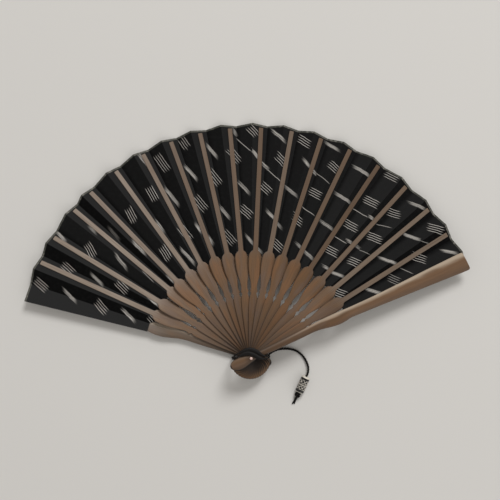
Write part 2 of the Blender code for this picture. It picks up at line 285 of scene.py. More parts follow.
def calc(tree, operation, first, second=0.0, third=0.0):
    return addNode(tree, "Math", {0: first, 1: second, 2: third}, operation=operation).outputs[0]


def times(tree, first, second):
    return calc(tree, "MULTIPLY", first, second)


def minus(tree, first, second):
    return calc(tree, "SUBTRACT", first, second)


def blend(tree, share, first, second):
    return addNode(tree, "Mix", {0: share, 6: first, 7: second}, data_type="RGBA").outputs[2]


def spread(tree, value, low, high, toLow=0.0, toHigh=1.0):
    links = {"Value": value, "From Min": low, "From Max": high, "To Min": toLow, "To Max": toHigh}
    return addNode(tree, "MapRange", links, interpolation_type="SMOOTHSTEP").outputs[0]


def fact(tree, name):  # what is painted on the mesh under this name
    return addNode(tree, "Attribute", {}, attribute_name=name).outputs["Fac"]


def boundTo(tree):  # the six helpers above, for one tree
    return [partial(helper, tree) for helper in (calc, times, minus, blend, spread, fact)]


def uvParts(tree, name):
    picked = addNode(tree, "UVMap", {}, uv_map=name).outputs[0]
    parts = addNode(tree, "SeparateXYZ", {0: picked})
    return parts.outputs[0], parts.outputs[1]


def pointAt(tree, x, y, z=0.0):
    return addNode(tree, "CombineXYZ", {0: x, 1: y, 2: z}).outputs[0]


def noiseAt(tree, where, scale, detail, rough=0.5):
    links = {"Vector": where, "Scale": scale, "Detail": detail, "Roughness": rough}
    return addNode(tree, "TexNoise", links).outputs["Fac"]


def addBump(tree, shader, height, distance, strength):
    bump = addNode(tree, "Bump", {"Height": height, "Distance": distance, "Strength": strength})
    tree.links.new(bump.outputs[0], shader.inputs["Normal"])


# free cord: from the neck loop's outer right leg, over the table, up to the bead
cordValues = dict(
    strandRadius=0.56 * mm, strandOffset=0.46 * mm, strands=3, twistLength=7.0 * mm, sides=10, step=0.5 * mm,
    route=((20.87, -91.69, 1.21), (24.66, -89.29, 1.0), (29.66, -87.49, 1.0), (35.86, -86.99, 1.0),
           (41.36, -87.69, 1.0), (46.06, -89.59, 1.0), (50.06, -92.79, 1.1), (52.86, -96.69, 1.4),
           (54.56, -100.49, 2.0), (55.26, -103.99, 2.9), (54.74, -108.1, 3.85), (53.49, -110.82, 3.85)))
beadValues = dict(top=(53.36 * mm, -111.09 * mm, 3.85 * mm), along=(-0.4179, -0.9085, 0.0),
                  length=15.0 * mm, bore=1.5 * mm, sides=144, spacing=0.17, carvedFrom=3.0 * mm,
                  ringsFrom=3.4 * mm)


# a tube of several strands that turn round each other; every station may widen or flatten it
def strandTube(name, route, radius, offset, twistLength, sides, strands=2, sideways=None, widths=None):
    points, faces, around = [], [], []
    count = len(route)
    tangents = [(route[min(i + 1, count - 1)] - route[max(i - 1, 0)]).normalized() for i in range(count)]
    side = tangents[0].cross(Vector((0.0, 0.0, 1.0)))
    if side.length < 0.1:
        side = tangents[0].cross(Vector((0.0, 1.0, 0.0)))
    for strand in range(strands):
        start, travelled = len(points), 0.0
        frameSide = side.normalized()
        for i, (place, ahead) in enumerate(zip(route, tangents)):
            if i:
                travelled += (place - route[i - 1]).length
            frameSide = (frameSide - ahead * frameSide.dot(ahead)).normalized()
            up = frameSide.cross(ahead)
            across, lift = (frameSide, up) if sideways is None else sideways(i, frameSide, up)
            wide, high = (1.0, 1.0) if widths is None else widths[i]
            turn = 2 * pi * (travelled / twistLength + strand / strands)
            centre = offset if strands > 1 else 0.0
            for k in range(sides):
                angle = 2 * pi * k / sides
                x = centre * cos(turn) + radius * cos(angle)
                y = centre * sin(turn) + radius * sin(angle)
                points.append(place + across * x * wide + lift * y * high)
                around.append((travelled / (10 * mm), k / sides))
        for i in range(count - 1):
            for k in range(sides):
                a, b = start + i * sides + k, start + i * sides + (k + 1) % sides
                faces.append((a, b, b + sides, a + sides))
        faces.append(tuple(start + k for k in reversed(range(sides))))
        faces.append(tuple(start + (count - 1) * sides + k for k in range(sides)))
    made = meshObject(name, points, faces)
    layer = made.data.uv_layers.new(name="around")
    for face in made.data.polygons:
        values = [around[v] for v in face.vertices]
        wraps = max(v[1] for v in values) - min(v[1] for v in values) > 0.5
        for corner, value in zip(face.loop_indices, values):
            layer.data[corner].uv = (value[0], 1.0 if wraps and value[1] == 0 else value[1])
    makeActive(made)
    bpy.ops.object.mode_set(mode="EDIT")
    faceOutward()
    smoothShade(made, 60.0)
    return made


cordLine = evenStations([Vector(p) * mm for p in cordValues["route"]], cordValues["step"])
cord = strandTube("cord_visual", cordLine, cordValues["strandRadius"], cordValues["strandOffset"],
                  cordValues["twistLength"], cordValues["sides"], cordValues["strands"])
cordLength = sum((b - a).length for a, b in zip(cordLine, cordLine[1:]))
print("cord made,", round(cordLength * 1000, 1), "mm")

# bead: turned with ring grooves, two bands carved with a plain lattice
beadProfile = (
    (1.5, 0), (3.15, 0), (3.45, -0.12), (3.72, -0.45), (3.84, -1), (3.84, -1.35), (3.6, -1.55), (3.6, -1.8),
    (3.84, -2), (3.85, -2.6), (3.6, -2.8), (3.6, -3), (3.82, -3.2), (3.82, -7), (3.6, -7.2), (3.6, -7.45),
    (3.85, -7.6), (3.85, -8.1), (3.6, -8.25), (3.6, -8.5), (3.82, -8.7), (3.82, -12.3), (3.6, -12.5),
    (3.6, -12.75), (3.85, -12.9), (3.85, -13.6), (3.7, -14.2), (3.4, -14.65), (3, -14.9), (2.7, -15),
    (1.5, -15))
beadBands = dict(bands=((-3.4, -6.8), (-8.9, -12.1)), across=7, depth=0.22 * mm, line=0.17, dot=0.13,
                 darkRings=((-1.45, -3.3), (-6.95, -7.6), (-8.12, -8.8), (-12.2, -14.3)))


def carvedAt(angle, height):  # 1 in the cut ground of a band, 0 on its raised lattice
    for top, bottom in beadBands["bands"]:
        if bottom < height < top:
            x = angle / (2 * pi) * beadBands["across"]
            y = (top - height) / (top - bottom)
            first, second = (x + y) % 1.0, (x - y) % 1.0
            onLine = min(min(first, 1 - first), min(second, 1 - second)) < beadBands["line"] / 2
            inner = hypot((x % 1.0) - 0.5, y - 0.5) < beadBands["dot"]
            return 0.0 if onLine or inner else 1.0
    return 0.0


def denseProfile(profile, spacing):
    fine = []
    for (r0, z0), (r1, z1) in zip(profile, profile[1:]):
        steps = max(1, round(abs(z1 - z0) / spacing)) if abs(z1 - z0) > 1.0 else 1
        fine += [(r0 + (r1 - r0) * i / steps, z0 + (z1 - z0) * i / steps) for i in range(steps)]
    return fine + [profile[-1]]


beadRings = [(r * mm, z * mm) for r, z in denseProfile(beadProfile, beadValues["spacing"])]
bead = growLathe("bead_visual", beadRings, beadValues["sides"], False)
makeActive(bead)
bpy.ops.object.mode_set(mode="EDIT")
pickVerts(bead, lambda co: hypot(co.x, co.y) < beadValues["bore"] + 0.01 * mm)
bpy.ops.mesh.bridge_edge_loops()
faceOutward()
carved = [carvedAt(atan2(v.co.y, v.co.x) + pi, v.co.z / mm)
          if hypot(v.co.x, v.co.y) > beadValues["carvedFrom"] else 0.0 for v in bead.data.vertices]
grooved = [1.0 if any(low < v.co.z / mm < high for high, low in beadBands["darkRings"])
           and hypot(v.co.x, v.co.y) > beadValues["ringsFrom"] else 0.0 for v in bead.data.vertices]
for vert, cut in zip(bead.data.vertices, carved):
    shrink = 1.0 - cut * beadBands["depth"] / max(hypot(vert.co.x, vert.co.y), mm)
    vert.co.x *= shrink
    vert.co.y *= shrink
paintPoints(bead, "carved", [max(a, b) for a, b in zip(carved, grooved)])
beadTurn = Vector(beadValues["along"]).to_track_quat("-Z", "Y").to_matrix().to_4x4()
bead.data.transform(Matrix.Translation(beadValues["top"]) @ beadTurn)
smoothShade(bead, 40.0)
print("bead made")

# knot: one strand wound as an overhand knot, a strand through the bead, two short ends
knotValues = dict(turnRadius=1.32 * mm, wave=0.55 * mm, strandRadius=0.7 * mm, tailRadius=0.6 * mm,
                  tailLength=9.0 * mm, fall=-0.325, gap=0.3 * mm, middle=2.45, widen=1.12, rise=0.85 * mm,
                  tailStart=1.6, tailShown=0.93, lowest=0.6 * mm, boreRadius=0.5 * mm, boreOffset=0.46 * mm,
                  boreBefore=0.2 * mm, boreExtra=1.2 * mm, twist=5 * mm, boreTwist=5.2 * mm)
beadTop = Vector(beadValues["top"])
along = Vector(beadValues["along"])
beadEnd = beadTop + along * beadValues["length"]
fallCourse = (along + Vector((0, 0, knotValues["fall"]))).normalized()
crossCourse = fallCourse.cross(Vector((0, 0, 1))).normalized()
upCourse = crossCourse.cross(fallCourse)
knotMiddle = beadEnd + along * knotValues["gap"] + fallCourse * knotValues["middle"] * mm


def knotPoint(share):
    turn = 4 * pi * share
    radius = knotValues["turnRadius"] + knotValues["wave"] * cos(1.5 * turn)
    wide = knotValues["widen"]
    return (knotMiddle + crossCourse * radius * cos(turn) * wide + fallCourse * radius * sin(turn) * wide
            + upCourse * knotValues["rise"] * sin(1.5 * turn))


knotRing = strandTube("knot_visual", [knotPoint(i / 150) for i in range(151)], knotValues["strandRadius"],
                      0.0, knotValues["twist"], 14, 1)
tailStart = knotMiddle + fallCourse * knotValues["tailStart"] * mm
strandPieces = [knotRing]
for number, (lean, reach) in enumerate(((0.55, 1.0), (-0.55, 0.9))):
    line = []
    for i in range(41):
        share = i / 40
        place = tailStart + fallCourse * knotValues["tailLength"] * knotValues["tailShown"] * reach * share
        place += crossCourse * lean * mm * (0.75 + 0.45 * share + 0.15 * sin(7 * share + number))
        place.z = max(place.z, knotValues["lowest"])
        line.append(place)
    strandPieces.append(strandTube(f"tail_{number}", line, knotValues["tailRadius"], 0.0,
                                   knotValues["twist"], 10, 1))
boreStart = beadTop - along * knotValues["boreBefore"]
boreReach = along * (beadValues["length"] + knotValues["boreExtra"])
boreLine = [boreStart + boreReach * i / 30 for i in range(31)]
strandPieces.append(strandTube("bore_strand", boreLine, knotValues["boreRadius"], knotValues["boreOffset"],
                               knotValues["boreTwist"], 10))
makeActive(knotRing)
for piece in strandPieces[1:]:
    piece.select_set(True)
bpy.ops.object.join()
knot = bpy.context.object
print("knot made")

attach(cord, "back_guard")
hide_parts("cord")
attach(bead, "back_guard")
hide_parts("bead")
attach(knot, "back_guard")
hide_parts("knot")
tuple(cordLine[0])
[tuple(p) for p in cordLine]

# neck loop: two laps over the guard and under the back guard, beside the rivet
loopValues = dict(strandRadius=0.72 * mm, over=22.845 * mm, under=-3.595 * mm, bend=1.3 * mm,
                  rightInner=(13.66, 1.97), rightOuter=(15.59, 1.86), leftInner=(-13.80, 0.15),
                  leftOuter=(-15.70, -0.22), topWidth=2.5, slim=0.88, step=0.55 * mm,
                  outerDrop=5.82, innerDrop=3.92, flatUpTo=11.5, flatFade=5.0, sides=20)
outerArch = ((12.4, 1.8), (9.2, 2.9), (6.9, 4.3), (3.9, 6.2), (0.0, 7.45), (-2.8, 7.6), (-6.9, 6.35),
             (-11.0, 4.3), (-14.2, 2.2))
innerArch = ((14.2, 0.3), (10.1, -0.15), (6.6, 0.55), (3.45, 2.35), (0.55, 3.6), (-2.8, 4.4), (-6.9, 3.6),
             (-10.8, 1.8))
underShares = ((-0.92, 0.3), (-0.7, 0.72), (-0.35, 0.95), (0.0, 1.0), (0.35, 0.95), (0.7, 0.72), (0.92, 0.3))


def loopStations():  # place and how far the strand is pressed flat there
    top, low = loopValues["over"] / mm, loopValues["under"] / mm
    bend = loopValues["bend"] / mm
    stations = []
    laps = ((loopValues["rightInner"], outerArch, loopValues["leftOuter"], loopValues["outerDrop"]),
            (loopValues["rightOuter"], innerArch, loopValues["leftInner"], loopValues["innerDrop"]))
    for right, arch, left, drop in laps:
        for height in (low + bend, (top + low) / 2, top - bend):
            stations.append((*right, height, 0.0))
        for x, y in arch:
            flat = ease((loopValues["flatUpTo"] - hypot(x, y)) / loopValues["flatFade"])
            stations.append((x, y, top, flat))
        for height in (top - bend, (top + low) / 2, low + bend):
            stations.append((*left, height, 0.0))
        for x, y in underShares:
            stations.append((x * abs(left[0]), -y * drop, low, 0.0))
    return [Vector(s) for s in stations]


loopLine = evenStations(loopStations(), loopValues["step"] / mm)
loopRoute = [fanToWorld @ (p.xyz * mm) for p in loopLine]
fanUp = fanToWorld.to_3x3() @ Vector((0, 0, 1))
slim = loopValues["slim"]
loopWidths = [(slim + (loopValues["topWidth"] - slim) * p.w, slim + (1.0 - slim) * p.w) for p in loopLine]


def loopSideways(i, side, up):  # the flat of the strand lies level where it crosses the guard
    ahead = (loopRoute[min(i + 1, len(loopRoute) - 1)] - loopRoute[max(i - 1, 0)]).normalized()
    level = fanUp.cross(ahead)
    if level.length < 0.5 or loopLine[i].w <= 0:
        return side, up
    level.normalize()
    return level, ahead.cross(level)


neckLoop = strandTube("neck_loop_visual", loopRoute, loopValues["strandRadius"], 0.0, knotValues["twist"],
                      loopValues["sides"], 1, loopSideways, loopWidths)
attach(neckLoop, "back_guard")
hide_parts("neck_loop")
print("neck loop made")

# rivet: small pale head, pin and larger foot
rivetProfile = (
    (0.3, 22.5), (0.7, 22.44), (1.02, 22.28), (1.2, 22.08), (1.25, 21.93), (0.85, 21.925), (0.85, -2.675),
    (2.75, -2.68), (2.9, -2.85), (2.9, -4.15), (2.75, -4.5), (2.4, -4.72), (1.9, -4.775), (0.4, -4.775))
rivet = growLathe("rivet_visual", [(r * mm, z * mm) for r, z in rivetProfile], 40)
rivet.data.transform(fanToWorld)
smoothShade(rivet, 35.0)
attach(rivet, "back_guard")
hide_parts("rivet")
print("rivet made")

# ribs: one strip pulled out from head to tip, thickened, edges eased, then copied
ribValues = dict(
    thickness=0.55 * mm, edge=0.1 * mm, hole=0.96 * mm, columns=6,
    stations=(
        (-18.36, 0.4), (-18.2, 0.76), (-17.9, 1.18), (-17.4, 1.78), (-16.6, 2.62), (-15.6, 3.45),
        (-14.2, 4.3), (-12.6, 4.88), (-11, 5.1), (-9, 4.98), (-6.6, 4.6), (-4.2, 4.05), (-1.8, 3.4),
        (0.6, 2.87), (3.2, 2.52), (6, 2.39), (9, 2.42), (12, 2.49), (16, 2.68), (20.2, 2.92), (26, 3.22),
        (32.2, 3.5), (38, 3.68), (44.2, 3.76), (48.2, 3.72), (51, 3.56), (53, 3.22), (54.4, 2.7),
        (55.3, 2.44), (56.2, 2.7), (57.1, 3.34), (57.8, 3.4), (58.7, 3.02), (60, 2.74), (61.4, 2.7),
        (63.4, 2.94), (66, 3.42), (68.6, 3.98), (71.4, 4.6), (74.4, 5.18), (77.4, 5.58), (80.4, 5.8),
        (83.4, 5.88), (86, 5.86), (88, 5.66), (89.4, 5.3), (90.6, 4.7), (91.5, 3.9), (92.1, 3.1),
        (92.7, 2.55), (93.4, 2.26), (95, 2.16), (100, 2.15), (120, 2.11), (150, 2.05), (180, 1.99),
        (199.6, 1.95), (200.2, 1.9), (200.5, 1.7)))
ribTones = ((0.0, 1.0), (0.1, 1.03), (0.05, 1.02), (0.3, 0.98), (0.15, 0.98), (0.45, 0.98), (0.8, 0.97),
            (0.8, 0.97), (0.9, 1.03), (1.0, 1.02), (0.65, 0.92), (0.95, 0.98), (0.9, 0.95), (1.0, 0.92),
            (0.75, 1.0), (0.45, 0.98), (0.5, 0.95))


def stickSolid(name, stations, columns, thickness, offset, height, slant=0.0, crown=0.0):
    reach = stations[-1][0]
    strip = growStrip(name, stations, columns)
    halfWidths = {round(x * 1e6): (c, w) for x, c, w in stations}
    applyModifier(strip, "SOLIDIFY", thickness=thickness, offset=offset, use_even_offset=False)
    for vert in strip.data.vertices:
        c, w = halfWidths.get(round(vert.co.x * 1e6), (0.0, 1.0))
        side = (vert.co.y - c) / w
        if crown and abs(vert.co.z) > thickness / 4:
            vert.co.z -= (1 if vert.co.z > 0 else -1) * crown * abs(side) ** guardValues["crownPower"]
        vert.co.z += height(vert.co.x) + vert.co.y * tiltAt(vert.co.x)
        vert.co.x -= slant * side * ease((vert.co.x - fan["shoulder"]) / (reach - fan["shoulder"]))
    return strip


def halfAt(stations, along):
    for (x0, c0, w0), (x1, c1, w1) in zip(stations, stations[1:]):
        if x0 <= along <= x1:
            share = (along - x0) / (x1 - x0)
            return c0 + (c1 - c0) * share, w0 + (w1 - w0) * share
    return stations[-1][1], stations[-1][2]


# eased edges and the rivet's hole, then the place along and across the grain, and how near the edge
def finishStick(piece, stations, edge, segments):
    applyModifier(piece, "BEVEL", width=edge, segments=segments, limit_method="ANGLE",
                  angle_limit=radians(50))
    deselectAll()
    bpy.ops.mesh.primitive_cylinder_add(vertices=32, radius=ribValues["hole"], depth=0.02, location=(0, 0, 0))
    drill = bpy.context.object
    applyModifier(piece, "BOOLEAN", operation="DIFFERENCE", object=drill, solver="MANIFOLD")
    bpy.data.objects.remove(drill)
    piece.data.materials.clear()
    verts = piece.data.vertices
    paintUV(piece, "grain", lambda v: (verts[v].co.x / 0.1, (verts[v].co.y + 0.5 * verts[v].co.z) / 0.01))
    sides = []
    for vert in verts:
        c, w = halfAt(stations, min(vert.co.x, stations[-1][0]))
        sides.append(max(-1.2, min(1.2, (vert.co.y - c) / w)))
    paintPoints(piece, "side", sides)
    paintPoints(piece, "edge", [abs(s) for s in sides])
    smoothShade(piece, 35.0)


ribStations = easeOutline(ribValues["stations"], 2)
ribModel = stickSolid("rib_model", ribStations, ribValues["columns"], ribValues["thickness"], 0.0,
                      lambda x: 0.0)
finishStick(ribModel, ribStations, ribValues["edge"], 2)

ribs = []
for index in range(1, lastStick):
    rib = ribModel.copy()
    rib.data = ribModel.data.copy()
    rib.name = rib.data.name = f"rib_{index:02d}_visual"
    bpy.context.scene.collection.objects.link(rib)
    warm, light = ribTones[index - 1]
    paintAll(rib, warm=warm, light=light, seed=index * 1.37)
    rib.data.transform(fanToWorld @ stickInFan(index))
    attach(rib, bodyNames[index])
    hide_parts(f"rib_{index:02d}")
    ribs.append(rib)
bpy.data.objects.remove(ribModel)
print("ribs made")

# guards: the same way, thicker, with a crowned outer face and rounded edges
# a guard's blade is uneven: each station has its left and its right half width, seen with the tip upward
guardValues = dict(
    thickness=2.3 * mm, edge=0.55 * mm, crown=0.6 * mm, crownPower=2.4, columns=8, inner=0.275 * mm,
    sunk=0.359 * mm, slant=0.65 * mm, hidden=190.0 * mm, hiddenReach=0.8, coverStart=111.0 * mm,
    coverHalf=5.3 * mm, coverFlare=0.028,
    stations=(
        (-19.16, 0.6, 0.6), (-19, 1.1, 1.1), (-18.6, 1.8, 1.8), (-17.9, 2.7, 2.7), (-16.9, 3.5, 3.5),
        (-15.6, 4.2, 4.2), (-13.9, 4.78, 4.78), (-12.4, 5.03, 5.03), (-11, 5.1, 5.1), (-9, 4.98, 4.98),
        (-6.6, 4.6, 4.6), (-4.2, 4.05, 4.05), (-1.8, 3.4, 3.35), (0.6, 2.9, 2.8), (3.2, 2.68, 2.5),
        (6, 2.62, 2.35), (12, 2.68, 2.3), (20, 2.85, 2.35), (32, 3.15, 2.42), (44, 3.55, 2.4),
        (50, 3.88, 2.28), (54, 4.2, 2.12), (58, 4.5, 2.08), (61, 4.72, 2.22), (65, 4.92, 2.62),
        (69.7, 5.05, 3.55), (74, 5.1, 4.4), (78, 5.12, 5), (81, 5.12, 5.25), (84, 5.1, 5.2), (88, 5, 4.8),
        (92.5, 4.8, 4.08), (100, 4.7, 4.35), (111, 4.68, 4.8), (131, 5.1, 5.75), (150, 5.7, 6.65),
        (170, 6.4, 7.65), (190, 6.95, 8.65), (198, 7.15, 9.1), (202, 7.2, 9.15), (203, 6.9, 8.9),
        (203.6, 6.2, 8.3), (203.8, 5.4, 7.5)))


def guardOutline(mirrored):  # the back guard lies turned over, and no wider than the cloth that covers it
    sides = []
    for side in (1, 2):
        rows = [(row[0], row[side]) for row in guardValues["stations"]]
        sides.append(easeOutline(rows, 3))
    stations = []
    for (x, c, left), (x, c, right) in zip(*sides):
        if mirrored:
            left, right = right, left
            hidden = guardValues["hidden"]
            x = min(x, hidden + (x - hidden) * guardValues["hiddenReach"])
            past = max(0.0, x - guardValues["coverStart"])
            left = min(left, guardValues["coverHalf"] + guardValues["coverFlare"] * past)
        stations.append((x, (left - right) / 2, (left + right) / 2))
    return stations


def backGuardHeight(along):
    return -guardValues["inner"] - guardValues["sunk"] * twistShare(along)


guards = []
for name, index, offset, height in (("back_guard", 0, -1.0, backGuardHeight),
                                    ("front_guard", lastStick, 1.0, lambda x: -guardValues["inner"])):
    guardStations = guardOutline(index == 0)
    guard = stickSolid(f"{name}_visual", guardStations, guardValues["columns"], guardValues["thickness"],
                       offset, height, guardValues["slant"] * (1 if index else -1), guardValues["crown"])
    finishStick(guard, guardStations, guardValues["edge"], 4)
    paintAll(guard, warm=1.0 if index else 0.0, light=1.0, seed=3.1 + index, upside=1.0 if index else -1.0)
    guard.data.transform(fanToWorld @ stickInFan(index))
    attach(guard, name)
    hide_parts(name)
    guards.append(guard)
print("guards made")

# kasuri: where its groups of lines, thick dashes and single lines lie, read in the photograph
# each is (pixels across, pixels down, direction in degrees, length in mm, strength)
kasuri = dict(
    rivet=(250.6, 357.5), pixel=0.871 * mm, halfWidths=(4.0, 2.2, 0.8), margin=1.5 * mm,
    groups=(
        (41, 285, -42, 12, 1), (101, 307, -50, 12, 1), (152, 319, -50, 8, 0.9), (68, 269, -43, 11, 0.9),
        (122, 287, -47, 12, 1), (90, 250, -60, 12, 1), (131, 215, -62, 12, 1), (152, 194, -60, 12, 1),
        (166, 254, -58, 12, 1), (162, 163, -54, 16, 0.8), (184, 143, -54, 9, 0.8), (185, 233, -52, 14, 0.8),
        (200, 203, -51, 14, 0.9), (215, 178, -52, 14, 0.9), (234, 155, -48, 14, 0.8),
        (229, 238, -48, 14, 0.8), (246, 212, -43, 11, 1), (253, 131, -48, 9, 0.9), (266, 189, -45, 10, 1),
        (281, 160, -46, 10, 0.9), (304, 141, -36, 11, 1), (334, 168, -42, 9, 0.9), (392, 177, -30, 11, 0.9),
        (315, 194, -31, 10, 1), (371, 203, -30, 12, 1), (393, 214, -20, 10, 0.9), (351, 227, -31, 11, 1),
        (374, 239, -22, 12, 1), (434, 230, -16, 13, 1), (297, 220, -42, 9, 1), (331, 252, -30, 10, 1),
        (353, 263, -22, 9, 1), (418, 259, -20, 12, 0.9), (277, 246, -45, 9, 1), (339, 294, -24, 9, 1),
        (393, 281, -25, 9, 0.6)),
    dashes=(
        (70, 296, -45, 13, 0.9), (129, 316, -45, 13, 1), (97, 280, -43, 12, 0.9), (153, 301, -42, 12, 1),
        (61, 237, -44, 10, 0.9), (121, 262, -51, 14, 1), (92, 229, -46, 8, 0.8), (114, 234, -48, 12, 0.3),
        (139, 248, -44, 14, 1), (171, 279, -45, 8, 1), (160, 227, -50, 10, 0.9), (143, 160, -50, 12, 0.8),
        (172, 197, -51, 17, 0.9), (191, 173, -49, 14, 1), (212, 151, -50, 12, 1), (244, 188, -48, 12, 1),
        (225, 213, -50, 11, 1), (199, 229, -55, 7, 0.9), (211, 241, -55, 6, 0.8), (188, 257, -47, 16, 1),
        (235, 132, -50, 4, 0.8), (256, 155, -48, 9, 1), (266, 167, -45, 7, 0.9), (279, 136, -41, 13, 1),
        (291, 192, -40, 11, 1), (271, 216, -48, 8, 1), (279, 226, -45, 5, 0.7), (250, 241, -48, 7, 0.9),
        (259, 251, -40, 5, 0.8), (307, 164, -48, 7, 1), (333, 147, -32, 11, 0.9), (362, 172, -32, 14, 1),
        (315, 173, -45, 4, 0.9), (343, 199, -34, 13, 1), (371, 219, -30, 4, 1), (417, 207, -22, 13, 1),
        (411, 238, -20, 14, 1), (326, 226, -36, 12, 1), (349, 243, -30, 4, 1), (357, 248, -30, 4, 0.6),
        (387, 262, -20, 14, 1), (448, 253, -10, 11, 1), (299, 247, -40, 4, 0.8), (308, 256, -42, 9, 1),
        (326, 269, -30, 4, 1), (336, 275, -22, 11, 1), (372, 292, -15, 12, 1)),
    lines=(
        (148, 277, -45, 13, 0.6), (244, 145, -43, 16, 0.9), (274, 176, -43, 16, 0.9),
        (322, 178, -41, 16, 0.7), (360, 214, -32, 14, 0.9), (383, 227, -15, 12, 0.7),
        (308, 212, -38, 12, 0.9), (340, 241, -32, 11, 0.9), (363, 253, -25, 10, 0.6),
        (405, 272, -25, 10, 0.7), (425, 244, -20, 10, 0.6)))
markRows = [(x, y, turn, length, strength, kind)
            for kind, name in enumerate(("groups", "dashes", "lines"))
            for x, y, turn, length, strength in kasuri[name]]
markTable = np.array(markRows, float)
markX = (markTable[:, 0] - kasuri["rivet"][0]) * kasuri["pixel"]
markY = (kasuri["rivet"][1] - markTable[:, 1]) * kasuri["pixel"]
markTurn = np.radians(markTable[:, 2])
markWidth = np.array(kasuri["halfWidths"])[markTable[:, 5].astype(int)] * mm


def paintMarks(facet, places):  # every face takes its place on the mark that lies nearest to it
    mesh = facet.data
    corners = np.empty(len(mesh.loops), int)
    mesh.loops.foreach_get("vertex_index", corners)
    corners = np.array(places)[corners].reshape(-1, 4, 2)
    middles = corners.mean(axis=1)
    dx, dy = middles[:, :1] - markX, middles[:, 1:] - markY
    halfLength, margin = markTable[:, 3] * mm / 2, kasuri["margin"]
    ahead = np.abs(dx * np.cos(markTurn) + dy * np.sin(markTurn)) / (halfLength + margin)
    aside = np.abs(dy * np.cos(markTurn) - dx * np.sin(markTurn)) / (markWidth + margin)
    nearest = np.argmin(np.maximum(ahead, aside), axis=1)
    turn = markTurn[nearest][:, None]
    x, y = corners[:, :, 0] - markX[nearest][:, None], corners[:, :, 1] - markY[nearest][:, None]
    local = np.stack((x * np.cos(turn) + y * np.sin(turn), y * np.cos(turn) - x * np.sin(turn)), axis=2)
    mesh.uv_layers.new(name="mark").data.foreach_set("uv", (local / (10 * mm)).ravel())
    for name, values in (("markKind", markTable[nearest, 5]), ("markLength", markTable[nearest, 3]),
                         ("markStrength", markTable[nearest, 4]), ("markSeed", nearest * 1.7)):
        mesh.attributes.new(name, "FLOAT", "FACE").data.foreach_set("value", values)


# leaf: facets of one pleated cloth, glued under the sticks and free between them
leafValues = dict(inner=92.6 * mm, peak=204.4 * mm, valley=202.5 * mm, peakAngle=2.15, valleyAngle=1.65,
                  drop=0.459 * mm, rows=96, columns=12, flatTurn=1.12, bulge=0.22 * mm, fray=0.12 * mm,
                  firstAngle=2.85, firstReach=202.3 * mm, hemRows=3, hemGap=0.12 * mm, hemHigh=0.9,
                  hemLeast=0.05, frayLength=0.11, depthInCm=11.2, ribHalf=0.2, ribAt=0.43, cutLength=0.1125,
                  narrowest=0.0101)


def foldPoint(index, side, share):  # on a stick's peak (1) or valley (0) fold line, in the fan's frame
    outer = leafValues["peak"] if side else leafValues["valley"]
    angle = radians(leafValues["peakAngle"] if side else -leafValues["valleyAngle"])
    if index == 0 and side:
        outer, angle = leafValues["firstReach"], radians(leafValues["firstAngle"])
    radius = leafValues["inner"] + share * (outer - leafValues["inner"])
    y = radius * sin(angle)
    point = Vector((radius * cos(angle), y, y * tan(radians(fan["leafTilt"])) - leafValues["drop"]))
    return stickInFan(index) @ point


def clothFacet(name, low, high, glued, normalWay, seed):
    rows, columns = leafValues["rows"], leafValues["columns"]
    points, weave, rim = [], [], []
    hem = 0 if glued else leafValues["hemRows"]
    for row in range(-hem, rows + 1):
        share = row / rows
        hemLow, hemHigh = 0.0, 1.0
        if row < 0:  # the inner hem fills the corner between two shoulders
            wide = (high(share) - low(share)).length
            along = low(share).xy.length
            covered = halfAt(ribStations, along)[1] + leafValues["hemGap"]
            hemLow = (covered - along * sin(radians(leafValues["valleyAngle"]))) / wide
            hemHigh = leafValues["hemHigh"]
            hemLow = min(hemLow, hemHigh - leafValues["hemLeast"])
        for column in range(columns + 1):
            s = hemLow + (hemHigh - hemLow) * column / columns
            frayed = share
            if row == rows and 0 < column < columns:
                threads = noise.noise(Vector((s * 9 + seed, seed, 1.0)))
                frayed = share + (leafValues["fray"] / leafValues["frayLength"]) * threads
            point = low(frayed).lerp(high(frayed), s)
            free = sin(pi * s) ** 2
            if glued:  # the strip under the rib stays flat
                onRib = abs(s - leafValues["ribAt"]) <= leafValues["ribHalf"]
                free = 0.0 if onRib else sin(2 * pi * s) ** 2
            wave = noise.noise(Vector((share * 3.2 + seed * 5.1, s * 1.3, seed)))
            point += normalWay * leafValues["bulge"] * free * (0.35 + share) * wave
            angle = pi / 2 + leafValues["flatTurn"] * (atan2(point.y, point.x) - pi / 2)
            radius = hypot(point.x, point.y)
            points.append(point)
            weave.append((radius * cos(angle) / 0.1, radius * sin(angle) / 0.1))
            rim.append((s, (1 - share) * leafValues["depthInCm"]))
    faces = []
    for row in range(rows + hem):
        for column in range(columns):
            a = row * (columns + 1) + column
            faces.append((a, a + 1, a + columns + 2, a + columns + 1))
    facet = meshObject(name, points, faces)
    if facet.data.polygons[0].normal.z < 0:
        facet.data.flip_normals()
    paintUV(facet, "weave", lambda v: weave[v])
    paintUV(facet, "rim", lambda v: rim[v])
    paintAll(facet, glued=float(glued))
    paintMarks(facet, [(p.x, p.y) for p in points])
    facet.data.transform(fanToWorld)
    for polygon in facet.data.polygons:
        polygon.use_smooth = True
    return facet


# painted shade: how light each facet looks; the glued ones darken to the right, the free ones to the left,
# and also where their gap is narrow, so that they stand steep and turn from the light
facetShade = dict(gluedFirst=42.0, gluedFall=0.1, freeFirst=14.0, freeRise=1.1, flat=75.0, deepest=4.0, palest=34.0,
            gloss=0.004, full=tone(42, 42, 42)[0])


def paintFacetShade(facet, index, glued):
    if glued:
        shown = facetShade["gluedFirst"] - facetShade["gluedFall"] * index ** 2
    else:
        shown = facetShade["freeFirst"] + facetShade["freeRise"] * index
        shown += facetShade["flat"] * (fan["gapShares"][index - 1] - 1.0)
        shown = min(facetShade["palest"], max(facetShade["deepest"], shown))
    share = max(0.0, tone(shown, shown, shown)[0] - facetShade["gloss"]) / facetShade["full"]
    paintAll(facet, light=share)


